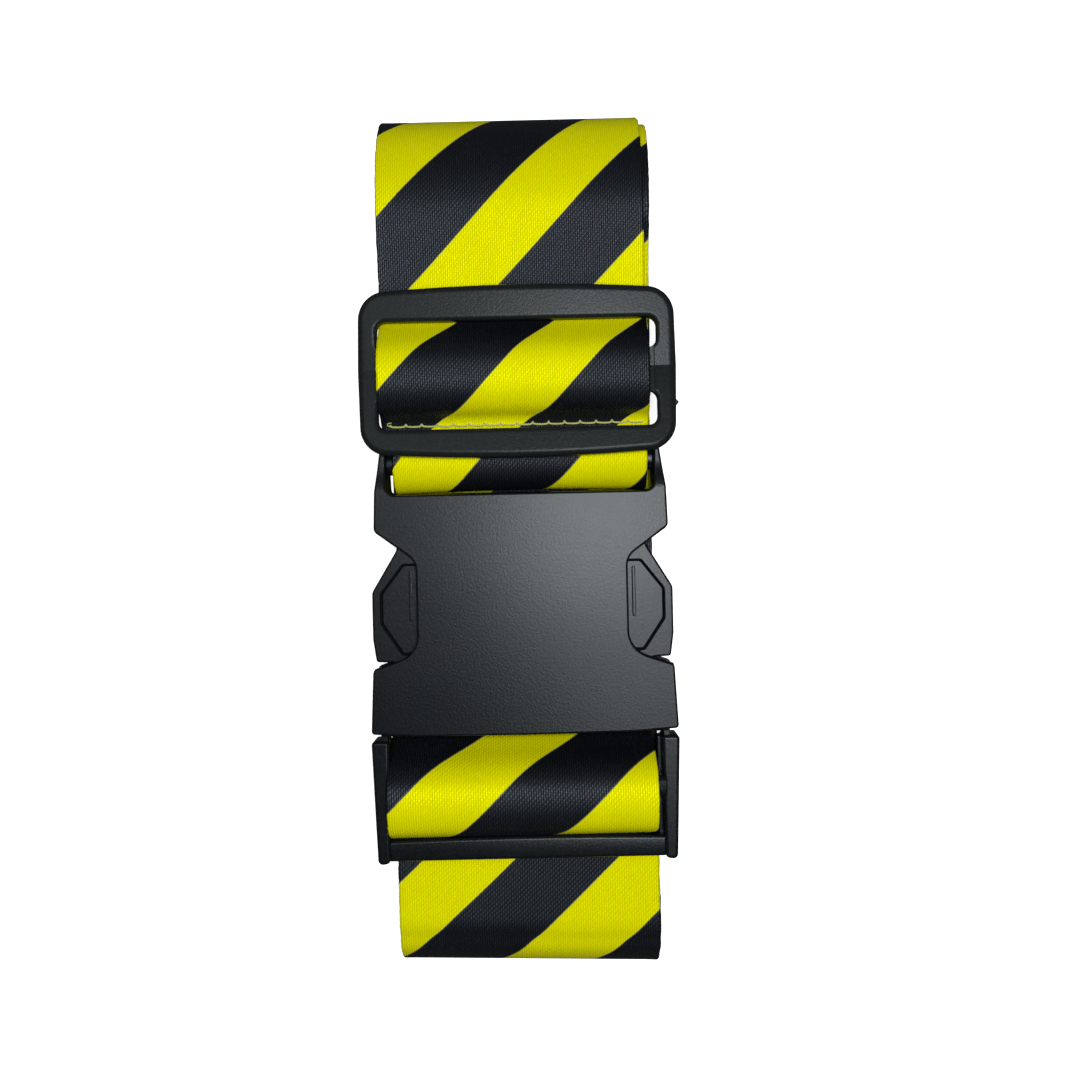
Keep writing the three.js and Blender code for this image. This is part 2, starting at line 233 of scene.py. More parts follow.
def drafted_profile(low, high, draft, low_round, high_round, flat=0.15, steps=4):
    """As edge_profile, for walls that lean in from the middle of the height by the draft."""
    middle = (low + high) / 2
    upright = edge_profile(low, high, low_round, high_round, flat, steps)
    leaning = [(z, i + draft * abs(z - middle) / (high - middle)) for z, i in upright]
    half = len(leaning) // 2
    return leaning[:half] + [(middle, 0.0)] + leaning[half:]


def moulded(name, outline, profile, holes=(), hole_profile=None):
    """A closed plate: the outline follows the profile, the holes follow theirs outwards."""
    rings, faces, points = [], [], []

    def wall(points_2d, steps, sign):
        start = []
        x, y = np.array(points_2d, float).T
        if (x * np.roll(y, -1) - y * np.roll(x, -1)).sum() < 0:
            points_2d = points_2d[::-1]
        for height, moved in steps:
            start.append(len(points))
            points.extend((x, y, height) for x, y in inset(points_2d, sign * moved))
        count = len(points_2d)
        for a, b in zip(start, start[1:]):
            for i in range(count):
                j = (i + 1) % count
                quad = (a + i, a + j, b + j, b + i)
                faces.append(quad if sign > 0 else quad[::-1])
        rings.append((start[0], start[-1], count))

    wall(outline, profile, 1)
    for hole in holes:
        wall(hole, hole_profile or profile, -1)
    for end in (0, 1):
        loops = [list(range(r[end], r[end] + r[2])) for r in rings]
        flat = [[Vector((points[i][0], points[i][1], 0)) for i in loop] for loop in loops]
        index = [i for loop in loops for i in loop]
        for tri in tessellate_polygon(flat):
            faces.append([index[i] for i in tri])
    return tidied(new_object(name, points, faces))


def turned_to_bar(made):
    """Turns a plate drawn in (Y, Z), extruded along its third axis, into a bar along X."""
    moved_points(made, lambda y, z, x: (x, y, z))
    return tidied(made)


def bar(name, x0, x1, y0, y1, z0, z1, r, edge=0.3):
    """A bar across the part with rounded long edges."""
    return turned_to_bar(moulded(name, rectangle(y0, y1, z0, z1, r), edge_profile(x0, x1, edge, edge)))


def combined(made, others, operation="UNION"):
    """Exact boolean of made with others, which are used up."""
    for other in others:
        change = made.modifiers.new("boolean", "BOOLEAN")
        change.operation, change.solver, change.object = operation, "EXACT", other
        change.use_self = True
        bpy.context.view_layer.update()
        seen = made.evaluated_get(bpy.context.evaluated_depsgraph_get())
        mesh = bpy.data.meshes.new_from_object(seen)
        made.modifiers.clear()
        made.data = mesh
        bpy.data.objects.remove(other)
    return tidied(made)


def moved_points(made, change):
    """Applies change(x, y, z), in millimetres and on arrays, to the points of an object."""
    co = np.zeros(len(made.data.vertices) * 3)
    made.data.vertices.foreach_get("co", co)
    made.data.vertices.foreach_set("co", np.stack(change(*co.reshape(-1, 3).T), 1).ravel())
    made.data.update()


def creased(made, *planes):
    """Adds edges where planes cross the object. Each is a (point, normal) pair."""
    grid = bmesh.new()
    grid.from_mesh(made.data)
    for place_on, normal in planes:
        bmesh.ops.bisect_plane(grid, geom=[*grid.verts, *grid.edges, *grid.faces], dist=1e-4,
                               plane_co=place_on, plane_no=normal)
    grid.to_mesh(made.data)
    grid.free()


# ---- webbing pieces -------------------------------------------------------------------------

def wobble(values, waves, draw):
    """A smooth random line: the mean of sines of these wavelengths, each with its own start."""
    return sum(np.sin(2 * math.pi * (values / w + draw.random())) for w in waves) / len(waves)


def section(width, columns=26, turn=5):
    """(across, height) round the webbing's cross-section, with rounded selvedges."""
    half, r = width / 2, THICK / 2
    across = np.linspace(-1, 1, columns) * (half - r)
    bead = 1 + 0.10 * np.exp(-((half - np.abs(across)) / 1.3) ** 2)
    top = np.stack([across, r * bead], 1)
    side = np.radians(np.linspace(90, -90, turn + 2)[1:-1])
    right = np.stack([half - r + r * np.cos(side), r * np.sin(side)], 1)
    return np.vstack([top, right, (top * [1, -1])[::-1], (right * [-1, 1])[::-1]])


def eased(values, start, stop):
    """0 before start, 1 after stop, smooth between."""
    t = np.clip((values - start) / (stop - start), 0, 1)
    return t * t * (3 - 2 * t)


def ribbon(name, route, width=49.6, centre=0.0, printed=0.0, direction=1, step=1.0, cup=0.0,
           squeeze=0.0, skew=0.0, ragged=0.10, seed=0):
    """Webbing along a route of (Y, Z) points. printed shifts its stripes, and direction is 1
    where the route runs towards -Y on top, -1 where it runs towards +Y. centre is the middle's
    X. Both are a number or a function of the distance along. cup lifts the edges, and squeeze is
    how much of the print is lost round each edge where the webbing is gathered. skew is how far,
    for each millimetre across, the piece lies askew of its line."""
    draw = np.random.default_rng(SEED + seed)
    line, gap = spaced(np.vstack(route), step)
    tangent = np.gradient(line, axis=0)
    tangent /= np.linalg.norm(tangent, axis=1)[:, None]
    up = np.stack([-tangent[:, 1], tangent[:, 0]], 1)
    along = np.arange(len(line)) * gap
    ring = section(width)
    x, h = ring.T
    rim = np.abs(x / (width / 2)) ** 12 * np.sign(x)
    middle = centre(along) if callable(centre) else np.full(len(line), float(centre))
    edge = {s: wobble(along, (1.7, 2.9, 5.3, 17.0), draw) * ragged for s in (-1, 1)}
    sway = np.where(x[None, :] < 0, edge[-1][:, None], edge[1][:, None]) * rim[None, :]
    ripple = 0.05 * wobble(along, (9.0, 23.0, 41.0), draw)[:, None] * (x / (width / 2))[None, :]
    lift = cup * ((x / (width / 2)) ** 2)[None, :]
    across = middle[:, None] + x[None, :] + sway
    printed_across = across * (1 + skew) + squeeze * ((x / (width / 2)) ** 3)[None, :]
    out = h[None, :] + ripple + lift
    lean = END_SKEW * across * eased(-line[:, 0], 60, 76)[:, None]
    points = np.stack([across, line[:, 0, None] + up[:, 0, None] * out - lean,
                       line[:, 1, None] + up[:, 1, None] * out], axis=2).reshape(-1, 3)
    rows, count = len(line), len(x)
    i, j = np.meshgrid(np.arange(rows - 1), np.arange(count), indexing="ij")
    a, b = i * count + j, i * count + (j + 1) % count
    faces = np.stack([a, b, b + count, a + count], axis=2).reshape(-1, 4).tolist()
    faces += [list(range(count))[::-1], list(range((rows - 1) * count, rows * count))]
    made = new_object(name, points, faces)
    shift = printed(along) if callable(printed) else printed
    paint = np.stack([np.repeat(direction * along + shift, count), printed_across.ravel()], 1) * MM
    corners = np.zeros(len(made.data.loops), np.int32)
    made.data.loops.foreach_get("vertex_index", corners)
    layer = made.data.uv_layers.new(name="print")
    layer.data.foreach_set("uv", paint[corners].astype(np.float32).ravel())
    grid = bmesh.new()
    grid.from_mesh(made.data)
    bmesh.ops.recalc_face_normals(grid, faces=grid.faces)
    grid.to_mesh(made.data)
    grid.free()
    made.data.shade_smooth()
    made.data.set_sharp_from_angle(angle=math.radians(60))
    made["length"] = gap * (rows - 1)
    return made


def declare_webbing(made):
    """Shrinks the piece to metres and gives it the webbing material."""
    place(made, MATERIALS["webbing"], "printed_webbing")
    return made


# ---- materials ------------------------------------------------------------------------------

class Shader:
    """A material under construction: nodes are added with their inputs, and linked as given."""

    def __init__(self, name):
        self.material = bpy.data.materials.new(name)
        self.material.use_nodes = True
        self.tree = self.material.node_tree
        self.bsdf = self.tree.nodes["Principled BSDF"]

    def give(self, socket, value):
        if isinstance(value, bpy.types.NodeSocket):
            self.tree.links.new(value, socket)
        else:
            socket.default_value = value

    def node(self, kind, inputs=None, output=0, **settings):
        made = self.tree.nodes.new("ShaderNode" + kind)
        for key, value in settings.items():
            setattr(made, key, value)
        for key, value in (inputs or {}).items():
            self.give(made.inputs[key], value)
        return made.outputs[output]

    def math(self, operation, *values):
        return self.node("Math", dict(enumerate(values)), operation=operation)

    def remap(self, value, low, high, to_low=0.0, to_high=1.0, smooth=True):
        return self.node("MapRange", {0: value, 1: low, 2: high, 3: to_low, 4: to_high},
                         interpolation_type="SMOOTHSTEP" if smooth else "LINEAR")

    def blend(self, share, a, b, kind="MIX"):
        """Colour a where share is 0, b where it is 1."""
        return self.node("Mix", {0: share, 6: a, 7: b}, output=2, data_type="RGBA", blend_type=kind)

    def noise(self, where, scale, detail=2.0, rough=0.5):
        return self.node("TexNoise", {"Vector": where, "Scale": scale, "Detail": detail,
                                      "Roughness": rough})

    def bump(self, height, strength, distance, onto=None):
        inputs = {"Height": height, "Strength": strength, "Distance": distance}
        if onto is not None:
            inputs["Normal"] = onto
        return self.node("Bump", inputs)

    def set(self, **values):
        for key, value in values.items():
            self.give(self.bsdf.inputs[key.replace("_", " ")], value)


def rgb(r, g, b):
    """An opaque colour for a shader socket."""
    return (r, g, b, 1.0)


def webbing_material():
    """Ribbed polyester webbing, printed right through with slanting yellow and black stripes."""
    s = Shader("printed_webbing")
    place = s.node("UVMap", uv_map="print")
    along, across = (s.node("SeparateXYZ", {0: place}, output=i) for i in (0, 1))

    def yarns(pitch, length, lean):
        """Ribs along the webbing, each a row of slanted floats: 0 between, 1 on top."""
        column = s.math("DIVIDE", across, pitch * MM)
        inside, which = s.math("FRACT", column), s.math("FLOOR", column)
        phase = s.math("ADD", s.math("DIVIDE", along, length * MM), s.math("MULTIPLY", which, 0.46))
        phase = s.math("ADD", phase, s.math("MULTIPLY", inside, lean))
        dash = s.remap(s.math("SINE", s.math("MULTIPLY", phase, 2 * math.pi)), -1.0, 1.0)
        rib = s.math("SINE", s.math("MULTIPLY", inside, math.pi))
        return s.math("MULTIPLY", rib, s.math("ADD", s.math("MULTIPLY", dash, 0.7), 0.3)), rib

    height, rib = yarns(RIB, DASH, 0.9)
    streak_place = s.node("CombineXYZ", {0: s.math("MULTIPLY", along, 900.0),
                                         1: s.math("MULTIPLY", across, 3200.0)})
    streak = s.noise(streak_place, 1.0, 3.0, 0.6)
    patch_place = s.node("CombineXYZ", {0: s.math("MULTIPLY", along, 60.0),
                                        1: s.math("MULTIPLY", across, 140.0)})
    patch = s.noise(patch_place, 1.0, 2.0)

    jitter = s.math("MULTIPLY", s.math("SUBTRACT", streak, 0.5), 0.010)
    turn = s.math("DIVIDE", s.math("ADD", along, across), PERIOD * MM)
    off = s.math("ABSOLUTE", s.math("SUBTRACT", s.math("FRACT", turn), 0.5))
    off = s.math("ADD", off, jitter)
    edge = YELLOW_SHARE / 2
    black = s.remap(off, edge - 0.005, edge + 0.005)
    fringe = s.math("SUBTRACT", 1.0, s.remap(s.math("ABSOLUTE", s.math("SUBTRACT", off, edge + 0.002)),
                                             0.0, 0.010))

    # Painted sheen and shade: in both the yellow and the black, the floats on top of each rib are
    # coloured lighter and the gaps between them darker, scaled by random streaky and patchy tone.
    float_sheen_and_tone = s.math("MULTIPLY", height, s.remap(streak, 0.34, 0.68, 0.15, 1.5, smooth=False))
    float_sheen_and_tone = s.math("MULTIPLY", float_sheen_and_tone, s.remap(patch, 0.3, 0.7, 0.8, 1.15))
    yellow_colour = s.blend(float_sheen_and_tone, rgb(0.74, 0.735, 0.0), rgb(0.93, 0.93, 0.0))
    black_colour = s.blend(s.math("POWER", float_sheen_and_tone, 2.0),
                           rgb(0.0015, 0.0020, 0.0030), rgb(0.014, 0.016, 0.023))
    colour = s.blend(black, yellow_colour, black_colour)
    colour = s.blend(s.math("MULTIPLY", fringe, 0.12), colour, rgb(0.42, 0.40, 0.30))
    rough = s.remap(streak, 0.3, 0.7, 0.50, 0.38, smooth=False)
    satin = s.math("MULTIPLY", s.math("SUBTRACT", 1.0, black), 0.10)
    ribbed = s.math("ADD", s.math("MULTIPLY", rib, 0.45), s.math("MULTIPLY", height, 0.55))
    fine = s.bump(ribbed, 0.9, 0.00010)
    s.set(Base_Color=colour, Roughness=rough, Metallic=satin,
          Normal=s.bump(streak, 0.6, 0.00006, fine),
          Specular_Tint=s.blend(black, rgb(1.0, 1.0, 0.0), rgb(0.72, 0.84, 1.0)))
    s.bsdf.inputs["Specular IOR Level"].default_value = 0.5
    return s.material


def plastic_material(name, dark, light, worn_and_highlit, gloss):
    """Moulded plastic: a fine spark-eroded grain, faint flow marks, and convex edges paler, partly from
    wear and partly a painted edge highlight.
    """
    s = Shader(name)
    place = s.node("TexCoord", output=3)
    grain = s.noise(place, 5000.0, 2.0, 0.6)
    coarse = s.noise(place, 2100.0, 3.0, 0.6)
    flow = s.noise(s.node("Mapping", {"Vector": place, "Scale": (26.0, 60.0, 40.0)}), 1.0, 3.0)
    speck = s.remap(coarse, 0.36, 0.70, 0.0, 1.0)
    share = s.math("ADD", s.math("MULTIPLY", speck, 0.6), s.math("MULTIPLY", flow, 0.4))
    colour = s.blend(share, dark, light)
    # Painted highlight, partly real wear: convex edges, found by pointiness, are blended towards a paler
    # colour for the light caught on the chamfers and for wear.
    edge = s.node("NewGeometry", output=7)
    rubbed_and_highlit_edges = s.math("MULTIPLY", s.remap(edge, 0.57, 0.68), s.remap(coarse, 0.35, 0.65, 0.25, 0.8))
    colour = s.blend(s.math("MULTIPLY", rubbed_and_highlit_edges, 0.5), colour, worn_and_highlit)
    rough = s.remap(s.math("ADD", s.math("MULTIPLY", flow, 0.5), s.math("MULTIPLY", grain, 0.5)),
                    0.3, 0.7, 0.22, 0.28, smooth=False)
    fine = s.bump(grain, 0.30, 0.00003)
    s.set(Base_Color=colour, Roughness=rough, Normal=s.bump(coarse, 0.42, 0.00005, fine))
    s.bsdf.inputs["Specular Tint"].default_value = rgb(0.90, 0.97, 1.0)
    s.bsdf.inputs["Specular IOR Level"].default_value = gloss
    return s.material


def thread_material():
    """Twisted sewing thread, pale yellow-green."""
    s = Shader("sewing_thread")
    place = s.node("TexCoord", output=3)
    twist = s.node("TexWave", {"Vector": place, "Scale": 1500.0, "Distortion": 2.0},
                   bands_direction="DIAGONAL")
    # Painted shade: the grooves of the twist are coloured darker and the plies lighter, following the
    # bump's wave.
    colour = s.blend(twist, rgb(0.26, 0.28, 0.04), rgb(0.60, 0.62, 0.20))
    s.set(Base_Color=colour, Roughness=s.remap(twist, 0.0, 1.0, 0.75, 0.55),
          Normal=s.bump(twist, 0.5, 0.00006))
    s.bsdf.inputs["Sheen Weight"].default_value = 0.3
    return s.material


def floor_material():
    """Nearly even white, with a glow of its own that the camera alone sees."""
    s = Shader("white_floor")
    place = s.node("TexCoord", output=3)
    s.set(Base_Color=s.blend(s.noise(place, 5.0), rgb(0.93, 0.93, 0.93), rgb(0.96, 0.96, 0.96)),
          Roughness=0.85)
    s.bsdf.inputs["Specular IOR Level"].default_value = 0.1
    s.set(Emission_Color=rgb(1, 1, 1), Emission_Strength=FLOOR_GLOW)
    return s.material


MATERIALS = {
    "webbing": webbing_material(),
    "slider": plastic_material("slider_plastic", rgb(0.008, 0.010, 0.0105), rgb(0.014, 0.017, 0.0175),
                               rgb(0.05, 0.055, 0.056), 0.07),
    "buckle": plastic_material("buckle_plastic", rgb(0.0030, 0.0042, 0.0052), rgb(0.0085, 0.0105, 0.0125),
                               rgb(0.045, 0.05, 0.054), 0.13),
    "thread": thread_material(),
}


# ---- the strap ------------------------------------------------------------------------------

def drifting(middle, reach, seed):
    """A layer's middle line that wanders a little as it goes round."""
    draw = np.random.default_rng(SEED + 100 + seed)
    starts = draw.random(2)
    return lambda s: middle + reach * (np.sin(2 * math.pi * (s / 130 + starts[0]))
                                       + 0.5 * np.sin(2 * math.pi * (s / 47 + starts[1])))


def nested(depth):
    """The free end's bend, moved inwards by a depth."""
    line = through(FREE_END)
    ahead = np.gradient(line, axis=0)
    ahead /= np.linalg.norm(ahead, axis=1)[:, None]
    return line + depth * np.stack([-ahead[:, 1], ahead[:, 0]], 1)


def plug_bend(radius):
    """The bend at the plug end, from the top down. radius is half of its height."""
    by, bz = PLUG_BEND
    flare = 1.2                   # the straight part before the bend is the same for all layers
    shape = through([(3.4, 1.0), (2.0, 0.985), (0.6, 0.9), (-1.9 / 5.475, 0.745), (-0.75, 0.43),
                     (-0.975, 0.07), (-0.965, -0.33), (-0.73, -0.68), (-0.3, -0.915), (0.3, -1.0),
                     (1.0, -1.0)], 6)
    flat = np.where(shape[:, 0] > 0, shape[:, 0] * flare, shape[:, 0] * radius)
    return np.stack([by + flat, bz + shape[:, 1] * radius], 1)


def inner_roll():
    """The rolled free end: three layers near the floor, three back over them, and their bends."""
    def tight(low, high):
        return plug_bend((high - low) / 2)

    def loose(run, back):
        """Round the free end inside the outermost layer, and down the slope to the back layer."""
        bend = nested(run - RUN_1)
        (_, high), drop = bend[-1], bend[-1][1] - back
        slope = ((60, 0.07), (57, 0.24), (53, 0.38), (48, 0.52), (42, 0.69), (35, 0.86), (28, 0.96),
                 (22, 1.0))
        descent = [(y, high - share * drop) for y, share in slope]
        return np.vstack([bend[:-1], through([bend[-1], *descent])])

    route = [[(61.0, RUN_2)], loose(RUN_2, BACK_2), tight(RUN_3, BACK_2), loose(RUN_3, BACK_3),
             tight(RUN_4, BACK_3), loose(RUN_4, BACK_4), tight(RUN_5, BACK_4), [(58, RUN_5)]]
    made = ribbon("strap_inner_roll", route, 49.6, drifting(0.35, 0.22, 1), PRINT["roll"], 1, 1.2, seed=1)
    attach(declare_webbing(made), "bundle")
    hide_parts("webbing_inner_roll")


def outer_run():
    """The outermost layer, from under the slider end up and round to the slider."""
    route = [[(66.5, RUN_1)], through(FREE_END + [(60.5, 20.9), (57, 20.3), (53, 19.5), (49, 19.0),
                                                  (46.5, 18.9), (44.3, 18.9)])]
    made = ribbon("strap_top_run", route, 49.3, -0.75, PRINT["top"], 1, 0.8, skew=0.045, seed=2)
    declare_webbing(made)
    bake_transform(made)
    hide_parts("webbing_outer_run", "webbing_top_run")


def slider_hump():
    """Over the slider's middle bar and under its two outer ones."""
    route = [through([(44.2, 18.9), (43.4, 18.85), (42.2, 18.95), (41.2, 19.35), (40.2, 20.1),
                      (39.1, 21.2), (38.0, 22.35), (36.9, 23.45), (35.8, 24.35), (34.8, 24.9),
                      (33.6, 25.25), (32, 25.4), (30, 25.35), (28.4, 25.05), (27.1, 24.5),
                      (26.0, 23.7), (25.15, 22.7), (24.6, 21.6), (24.1, 20.5), (23.3, 19.65),
                      (22.2, 19.1), (20.8, 18.9), (18.7, 18.85)])]
    made = ribbon("strap_slider_hump", route, 49.4, -0.65, PRINT["hump"], 1, 0.6, cup=-0.15,
                  skew=0.04, seed=3)
    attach(declare_webbing(made), "slider")
    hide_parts("webbing_slider_hump")


def socket_loop():
    """Round the socket's end bar and up to the slider's middle bar, where the strap is sewn."""
    route = [through([(18.6, 18.85), (16.5, 18.85), (14.4, 18.5), (12.4, 17.4), (11.15, 15.6),
                      (10.95, 13.6), (11.9, 11.7), (13.9, 10.6), (16.2, 10.5), (18.55, 11.2),
                      (21, 13.3), (24, 16.5), (26.6, 18.8), (28.6, 19.4), (34.2, 19.4),
                      (35.5, 19.45), (36.1, 20.1), (36.1, 22.2), (35.5, 22.85), (34.3, 22.9),
                      (29, 22.9), (27.7, 22.85), (27.0, 22.2), (26.8, 21.2), (25.9, 20.1),
                      (24.4, 18.4), (22.9, 17)])]
    made = ribbon("strap_sewn_end", route, 47.2, 0.1, PRINT["loop"], 1, 0.6, cup=-0.5,
                  squeeze=2.2, seed=4)
    declare_webbing(made)
    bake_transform(made)
    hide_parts("webbing_socket_loop", "webbing_sewn_end")


def plug_webbing():
    """From the floor round the plug end, over the plug's middle bar, down and back inside."""
    by, bz = PLUG_BEND
    route = [[(66.0, RUN_1)], plug_bend(bz - RUN_1)[::-1],
             through([(-60, PLUG_RUN), (-56.5, PLUG_RUN), (-55.0, 11.6), (-54.2, 12.6), (-53.95, 15),
                      (-53.5, 18.0), (-52.2, 20.2), (-49.8, 21.55), (-46.8, 21.95), (-44.2, 21.5),
                      (-42.4, 20.4), (-41.0, 18.9), (-39.8, 17.0), (-38.7, 15.0), (-37.6, 13.2),
                      (-36.7, 11.9), (-36.5, 11.0), (-37.2, 10.4), (-38.8, 10.2), (-40.5, 10.15),
                      (-44, RETURN)]),
             plug_bend(bz - RUN_2), [(60.5, RUN_2)]]
    made = ribbon("strap_plug_run", route, 50.0, plug_run_middle, plug_run_print, -1, 0.8,
                  skew=-0.05, seed=5)
    declare_webbing(made)
    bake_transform(made)
    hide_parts("webbing_plug_loop")


def plug_run_middle(s):
    """Middle line: centred along the bottom section, shifted on the hump over the middle bar."""
    return -0.05 - 0.65 * eased(s, 176, 186) + 0.9 * eased(s, 222, 240)


def plug_run_print(s):
    """The stripes' shift. The slack under the cross bar holds a little more webbing than shows."""
    return 22.9 - 12.3 * eased(s, 174.5, 182)


def tube(name, path, radius, sides=8):
    """A round thread along a path of (X, Y, Z) points, with closed ends."""
    p = np.array(path, float)
    t = np.gradient(p, axis=0)
    t /= np.linalg.norm(t, axis=1)[:, None]
    side = np.cross(t, [0.0, 0.31, 0.95])
    side /= np.linalg.norm(side, axis=1)[:, None]
    up = np.cross(side, t)
    a = np.arange(sides) * 2 * math.pi / sides
    ring = side[:, None] * np.cos(a)[None, :, None] + up[:, None] * np.sin(a)[None, :, None]
    thick = np.full(len(p), radius)
    thick[[0, -1]] *= 0.4
    points = (p[:, None] + ring * thick[:, None, None]).reshape(-1, 3)
    faces = []
    for start in range(0, (len(p) - 1) * sides, sides):
        for j in range(sides):
            k = (j + 1) % sides
            faces.append((start + j, start + k, start + sides + k, start + sides + j))
    faces += [list(range(sides))[::-1], list(range((len(p) - 1) * sides, len(p) * sides))]
    return tidied(new_object(name, points, faces), 80)


def seam():
    """The row of stitches across the slider's lower slot, with the loose end of its thread."""
    left, right, stitches = -23.7, 23.1, 16
    y, z = SEAM_Y, SEAM_Z
    path = []
    for i in range(stitches):
        x0 = left + (right - left) * i / stitches
        reach = (right - left) / stitches
        for share, dy, dz in ((0.0, 0.48, 0.20), (0.05, 0.12, 0.28), (0.2, 0.0, 0.28),
                              (0.55, -0.05, 0.27), (0.87, 0.0, 0.22), (0.96, 0.16, 0.14)):
            path.append((x0 + share * reach, y + dy, z + dz))
    path = np.array(path)
    at = np.linspace(0, len(path) - 1, 4 * len(path))
    fine = np.stack([np.interp(at, np.arange(len(path)), path[:, k]) for k in range(3)], 1)
    made = tube("seam_stitches", fine, THREAD_RADIUS)
    loose_end = [(left - 0.45 * math.sin(a), 22.3 + 0.25 - 0.25 * math.cos(a) + 0.04 * a,
                  19.95 + 0.1 * a) for a in np.linspace(0, 4.0, 22)]
    curl = tube("seam_curl", loose_end, 0.10)
    for piece in (made, curl):
        place(piece, MATERIALS["thread"], "sewing_thread", "slider")
    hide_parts("seam_thread")


# ---- the slider -----------------------------------------------------------------------------

def slider():
    """A tri-glide: a bowed frame with one sunk middle bar, creased across its side bars."""
    low, high = SLIDER_Y
    c, half = SLIDER_CORNER, SLIDER_HALF

    def bow(y, sign):
        x = sign * np.linspace(-1, 1, 17) * (half - c)
        return np.stack([x, y - sign * SLIDER_BOW * (1 - (x / (half - c)) ** 2)], 1)

    outline = np.vstack([bow(low, 1), arc(half - c, low + c, c, -90, 0)[1:],
                         arc(half - c, high - c, c, 0, 90), bow(high, -1)[1:],
                         arc(c - half, high - c, c, 90, 180)[1:],
                         arc(c - half, low + c, c, 180, 270)[:-1]])
    slots = [rectangle(-SLOT_HALF, SLOT_HALF, y0, y1, 1.7) for y0, y1 in (LOWER_SLOT, UPPER_SLOT)]
    made = moulded("slider_frame", outline, edge_profile(SLIDER_LOW, SLIDER_HIGH, 0.7, 1.1, steps=5),
                   slots, edge_profile(SLIDER_LOW, SLIDER_HIGH, 0.5, 0.7))
    sunk = rectangle(-SLOT_HALF + 0.4, SLOT_HALF - 0.4, LOWER_SLOT[1] - 0.9, UPPER_SLOT[0] + 0.9, 0.4)
    sink = [("sink_top", edge_profile(SLIDER_HIGH - 0.5, SLIDER_HIGH + 1, 0.2, 0.1)),
            ("sink_low", edge_profile(SLIDER_LOW - 1, SLIDER_LOW + 0.5, 0.1, 0.2))]
    made = combined(made, [moulded(name, sunk, profile) for name, profile in sink], "DIFFERENCE")
    creased(made, ((0, SLIDER_CREASE, 0), (0, 1, 0)))

    def valleyed(x, y, z):
        share = np.clip((z - 21.4) / (SLIDER_HIGH - 21.4), 0, 1)
        swell = 0.22 * np.exp(-((y - SLIDER_CREASE) / 3.4) ** 2) * np.clip((np.abs(x) - 27.3) / 1.4, 0, 1)
        away = np.abs(y - SLIDER_CREASE)
        return x + np.sign(x) * swell, y, z - SLIDER_SLOPE * (SLIDER_REACH - away) * share

    moved_points(made, valleyed)
    made.data.set_sharp_from_angle(angle=math.radians(32))
    points = made.data.vertices
    for edge in made.data.edges:
        if all(abs(points[i].co.y - SLIDER_CREASE) < 0.01 for i in edge.vertices):
            edge.use_edge_sharp = True
    nub = moulded("slider_gate_mark", rounded([(28.7, 24.9, 0.1), (29.1, 24.95, 0.1), (29.5, 25.5, 0.1),
                                               (29.15, 25.9, 0.1), (28.7, 26.2, 0.1)], 2),
                  edge_profile(21.1, 22.0, 0.15, 0.15, 0.03, 2))
    for piece in (made, nub):
        place(piece, MATERIALS["slider"], "slider_plastic", "slider")
    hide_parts("slider")


# ---- the socket -----------------------------------------------------------------------------

def socket():
    """The hollow half: open windows at the sides, a strap slot and end bar behind."""
    right = [(20, -35.35), (28.8, -34.8, 1.0), (28.2, -22.4, 1.2), (19.95, -19.6, 4.5),
             (19.95, -2.8, 3), (27.6, 2.8, 1.6), (27.35, SOCKET_END + 0.3, 6),
             (26.2, 18.3, 0.82), (STRAP_SLOT_HALF, 18.3, 0.82), (STRAP_SLOT_HALF, SOCKET_END, 1.3)]
    outline = rounded([(0, -35.5), *right, *mirrored(right)])
    profile = drafted_profile(SOCKET_LOW, SOCKET_HIGH, 0.4, 0.35, 0.35, 0.04)
    body = moulded("socket_body", outline, profile)
    bends = (SOCKET_END - 0.4, *np.linspace(SOCKET_END, SOCKET_END + 5, 7))
    creased(body, *(((0, y, 0), (0, 1, 0)) for y in bends))

    def sloped(x, y, z):
        down = np.clip((y - SOCKET_END) / 5, 0, 1)
        down = down * down * (3 - 2 * down)
        top, low = np.clip((z - 15) / 5, 0, 1), np.clip((14 - z) / 4.3, 0, 1)
        return x, y, z - 0.75 * down * top + 1.3 * down * low

    moved_points(body, sloped)
    cavity = [(-27.2, -38), (27.2, -38), (27.2, -23.4), (30, -22), (30, 2), (25.6, 2.4, 0.5),
              (25.6, 7, 1), (-25.6, 7, 1), (-25.6, 2.4, 0.5), (-30, 2), (-30, -22), (-27.2, -23.4)]
    hollow = moulded("hollow", rounded(cavity, 4),
                     edge_profile(SOCKET_LOW + SOCKET_WALL, SOCKET_HIGH - SOCKET_WALL, 0.3, 0.3, 0.1, 2))
    body = combined(body, [hollow], "DIFFERENCE")
    end_bar = bar("end_bar", -STRAP_SLOT_HALF - 0.6, STRAP_SLOT_HALF + 0.6, 13.6, 17.9, 12.4, 17.2, 1.8)
    body = combined(body, [end_bar])
    place(body, MATERIALS["buckle"], "buckle_plastic", "bundle")
    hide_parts("buckle_socket")


# ---- the plug -------------------------------------------------------------------------------

